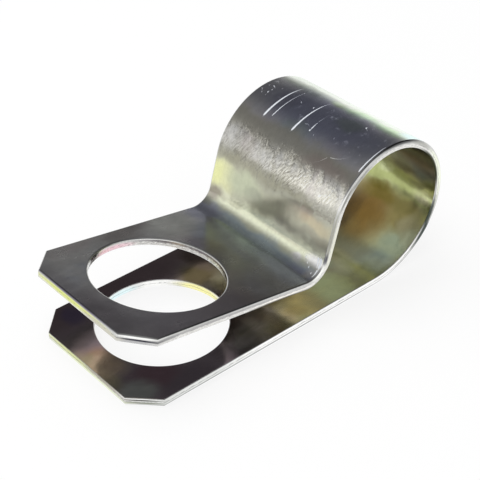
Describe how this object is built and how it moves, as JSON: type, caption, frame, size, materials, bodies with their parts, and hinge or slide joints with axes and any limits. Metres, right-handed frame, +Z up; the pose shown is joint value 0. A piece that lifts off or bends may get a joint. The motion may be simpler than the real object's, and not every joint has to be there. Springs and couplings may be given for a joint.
{
  "type": "pipe clamp",
  "caption": "Sheet-steel strap folded into a loop round a pipe, with punched ears that a bolt or a threaded fitting draws together.",
  "frame": {"origin": "centre of the pipe bore, in the middle of the strap's width", "axes": "+Y along the pipe, +X away from the ears, +Z up from the lower ear"},
  "size_m": [0.0568, 0.025, 0.0234],
  "materials": {
    "plated_steel": "bright zinc plate with a faint yellow-green passivation, some handling scratches"
  },
  "bodies": {
    "root": {"clamp_strap": "plated_steel"}
  },
  "joints": []
}
